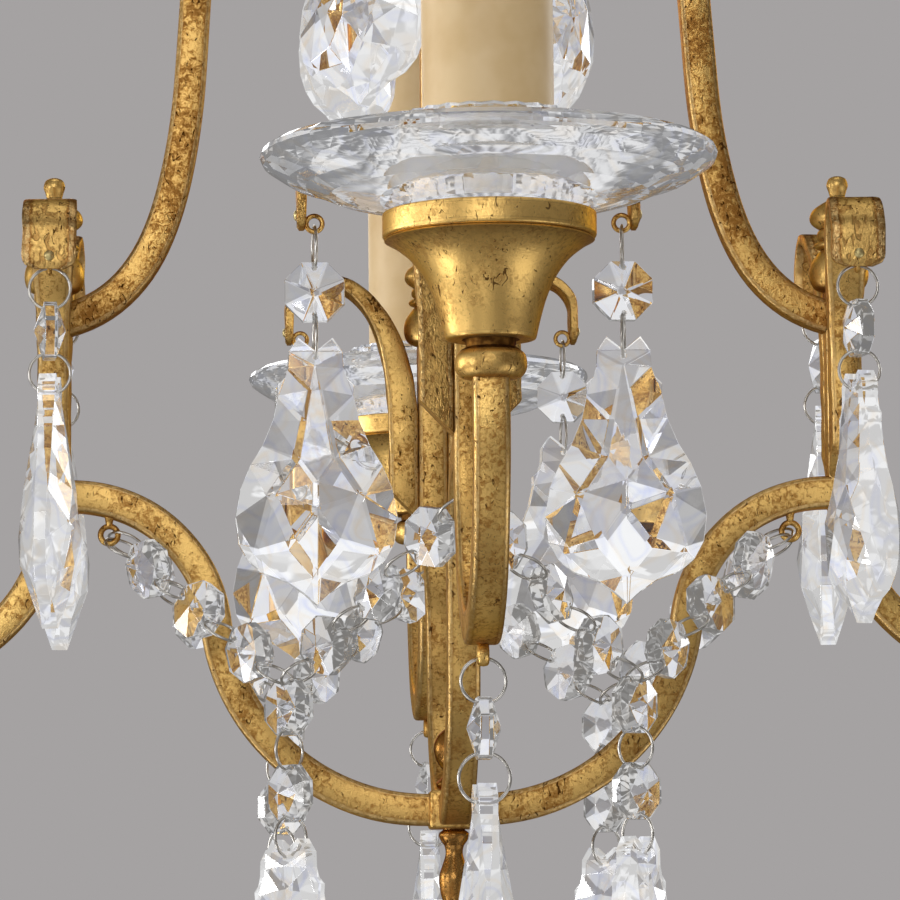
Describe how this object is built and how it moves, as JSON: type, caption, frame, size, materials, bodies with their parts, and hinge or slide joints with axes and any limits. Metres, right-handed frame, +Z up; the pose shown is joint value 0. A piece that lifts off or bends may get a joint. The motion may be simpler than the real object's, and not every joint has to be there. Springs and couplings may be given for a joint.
{
  "type": "chandelier",
  "caption": "Candle chandelier: a cage of square gilt iron bars with J-shaped arms, glass drip pans, crooked hooks, cut-crystal drops and bead swags.",
  "frame": {"origin": "the point inside the hanging loop where the hook bears", "axes": "+Z up along the chandelier's axis, -Y towards the front arm, +X towards the right arm"},
  "size_m": [0.479, 0.479, 0.5382],
  "materials": {
    "gilt_iron": "antique gilding over iron, flecked brown",
    "crystal": "polished cut crystal on steel wire rings",
    "bobeche_glass": "polished faceted glass",
    "candle_sleeve": "matt wax-coloured card",
    "lamp_holder": "glazed cream moulding"
  },
  "bodies": {
    "frame": {"post_arm_front": "gilt_iron", "post_finial_front": "gilt_iron", "upper_bar_front": "gilt_iron", "lower_bar_front": "gilt_iron", "candle_cup_front": "gilt_iron", "bobeche_front": "bobeche_glass", "candle_sleeve_front": "candle_sleeve", "lamp_holder_front": "lamp_holder", "post_arm_right": "gilt_iron", "post_finial_right": "gilt_iron", "upper_bar_right": "gilt_iron", "lower_bar_right": "gilt_iron", "candle_cup_right": "gilt_iron", "bobeche_right": "bobeche_glass", "candle_sleeve_right": "candle_sleeve", "lamp_holder_right": "lamp_holder", "post_arm_rear": "gilt_iron", "post_finial_rear": "gilt_iron", "upper_bar_rear": "gilt_iron", "lower_bar_rear": "gilt_iron", "candle_cup_rear": "gilt_iron", "bobeche_rear": "bobeche_glass", "candle_sleeve_rear": "candle_sleeve", "lamp_holder_rear": "lamp_holder", "post_arm_left": "gilt_iron", "post_finial_left": "gilt_iron", "upper_bar_left": "gilt_iron", "lower_bar_left": "gilt_iron", "candle_cup_left": "gilt_iron", "bobeche_left": "bobeche_glass", "candle_sleeve_left": "candle_sleeve", "lamp_holder_left": "lamp_holder", "bottom_hub": "gilt_iron", "hub_finial": "gilt_iron", "bottom_finial": "gilt_iron", "top_hub": "gilt_iron", "hanging_loop": "gilt_iron"},
    "crook_drop_front_left": {"crook_drop_front_left": "crystal"},
    "crook_drop_front_right": {"crook_drop_front_right": "crystal"},
    "arm_drop_front": {"arm_drop_front": "crystal"},
    "lower_swag_front_right": {"lower_swag_front_right": "crystal"},
    "upper_swag_front_right": {"upper_swag_front_right": "crystal"},
    "crook_drop_right_front": {"crook_drop_right_front": "crystal"},
    "crook_drop_right_rear": {"crook_drop_right_rear": "crystal"},
    "arm_drop_right": {"arm_drop_right": "crystal"},
    "lower_swag_rear_right": {"lower_swag_rear_right": "crystal"},
    "upper_swag_rear_right": {"upper_swag_rear_right": "crystal"},
    "crook_drop_rear_right": {"crook_drop_rear_right": "crystal"},
    "crook_drop_rear_left": {"crook_drop_rear_left": "crystal"},
    "arm_drop_rear": {"arm_drop_rear": "crystal"},
    "lower_swag_rear_left": {"lower_swag_rear_left": "crystal"},
    "upper_swag_rear_left": {"upper_swag_rear_left": "crystal"},
    "crook_drop_left_rear": {"crook_drop_left_rear": "crystal"},
    "crook_drop_left_front": {"crook_drop_left_front": "crystal"},
    "arm_drop_left": {"arm_drop_left": "crystal"},
    "lower_swag_front_left": {"lower_swag_front_left": "crystal"},
    "upper_swag_front_left": {"upper_swag_front_left": "crystal"},
    "bottom_drop": {"bottom_drop": "crystal"}
  },
  "joints": [
    {"name": "crook_drop_front_left_swing", "type": "hinge", "parent": "frame", "child": "crook_drop_front_left", "pos_m": [-0.03635, -0.1008, -0.2717], "axis": [-1, 0, 0], "range_deg": [-10, 25]},
    {"name": "crook_drop_front_right_swing", "type": "hinge", "parent": "frame", "child": "crook_drop_front_right", "pos_m": [0.03635, -0.1008, -0.2717], "axis": [-1, 0, 0], "range_deg": [-10, 25]},
    {"name": "arm_drop_front_swing", "type": "hinge", "parent": "frame", "child": "arm_drop_front", "pos_m": [0, -0.14515, -0.37715], "axis": [0, -1, 0], "range_deg": [-25, 25]},
    {"name": "lower_swag_front_right_swing", "type": "hinge", "parent": "frame", "child": "lower_swag_front_right", "pos_m": [0.0424, -0.04274, -0.33431], "axis": [0.7042, 0.7099, 0.0128], "range_deg": [-8, 8]},
    {"name": "upper_swag_front_right_swing", "type": "hinge", "parent": "frame", "child": "upper_swag_front_right", "pos_m": [0.0233, -0.02382, -0.10925], "axis": [0.6991, 0.7147, 0.0199], "range_deg": [-8, 4]},
    {"name": "crook_drop_right_front_swing", "type": "hinge", "parent": "frame", "child": "crook_drop_right_front", "pos_m": [0.1008, -0.03635, -0.2717], "axis": [0, -1, 0], "range_deg": [-10, 25]},
    {"name": "crook_drop_right_rear_swing", "type": "hinge", "parent": "frame", "child": "crook_drop_right_rear", "pos_m": [0.1008, 0.03635, -0.2717], "axis": [0, -1, 0], "range_deg": [-10, 25]},
    {"name": "arm_drop_right_swing", "type": "hinge", "parent": "frame", "child": "arm_drop_right", "pos_m": [0.14515, 0, -0.37715], "axis": [1, 0, 0], "range_deg": [-25, 25]},
    {"name": "lower_swag_rear_right_swing", "type": "hinge", "parent": "frame", "child": "lower_swag_rear_right", "pos_m": [0.04274, 0.0424, -0.33431], "axis": [-0.7099, 0.7042, 0.0128], "range_deg": [-8, 8]},
    {"name": "upper_swag_rear_right_swing", "type": "hinge", "parent": "frame", "child": "upper_swag_rear_right", "pos_m": [0.02382, 0.0233, -0.10925], "axis": [-0.7147, 0.6991, 0.0199], "range_deg": [-8, 4]},
    {"name": "crook_drop_rear_right_swing", "type": "hinge", "parent": "frame", "child": "crook_drop_rear_right", "pos_m": [0.03635, 0.1008, -0.2717], "axis": [1, 0, 0], "range_deg": [-10, 25]},
    {"name": "crook_drop_rear_left_swing", "type": "hinge", "parent": "frame", "child": "crook_drop_rear_left", "pos_m": [-0.03635, 0.1008, -0.2717], "axis": [1, 0, 0], "range_deg": [-10, 25]},
    {"name": "arm_drop_rear_swing", "type": "hinge", "parent": "frame", "child": "arm_drop_rear", "pos_m": [0, 0.14515, -0.37715], "axis": [0, 1, 0], "range_deg": [-25, 25]},
    {"name": "lower_swag_rear_left_swing", "type": "hinge", "parent": "frame", "child": "lower_swag_rear_left", "pos_m": [-0.0424, 0.04274, -0.33431], "axis": [-0.7042, -0.7099, 0.0128], "range_deg": [-8, 8]},
    {"name": "upper_swag_rear_left_swing", "type": "hinge", "parent": "frame", "child": "upper_swag_rear_left", "pos_m": [-0.0233, 0.02382, -0.10925], "axis": [-0.6991, -0.7147, 0.0199], "range_deg": [-8, 4]},
    {"name": "crook_drop_left_rear_swing", "type": "hinge", "parent": "frame", "child": "crook_drop_left_rear", "pos_m": [-0.1008, 0.03635, -0.2717], "axis": [0, 1, 0], "range_deg": [-10, 25]},
    {"name": "crook_drop_left_front_swing", "type": "hinge", "parent": "frame", "child": "crook_drop_left_front", "pos_m": [-0.1008, -0.03635, -0.2717], "axis": [0, 1, 0], "range_deg": [-10, 25]},
    {"name": "arm_drop_left_swing", "type": "hinge", "parent": "frame", "child": "arm_drop_left", "pos_m": [-0.14515, 0, -0.37715], "axis": [-1, 0, 0], "range_deg": [-25, 25]},
    {"name": "lower_swag_front_left_swing", "type": "hinge", "parent": "frame", "child": "lower_swag_front_left", "pos_m": [-0.04274, -0.0424, -0.33431], "axis": [0.7099, -0.7042, 0.0128], "range_deg": [-8, 8]},
    {"name": "upper_swag_front_left_swing", "type": "hinge", "parent": "frame", "child": "upper_swag_front_left", "pos_m": [-0.02382, -0.0233, -0.10925], "axis": [0.7147, -0.6991, 0.0199], "range_deg": [-8, 4]},
    {"name": "bottom_drop_swing", "type": "hinge", "parent": "frame", "child": "bottom_drop", "pos_m": [0, 0, -0.4434], "axis": [1, 0, 0], "range_deg": [-20, 20]}
  ]
}
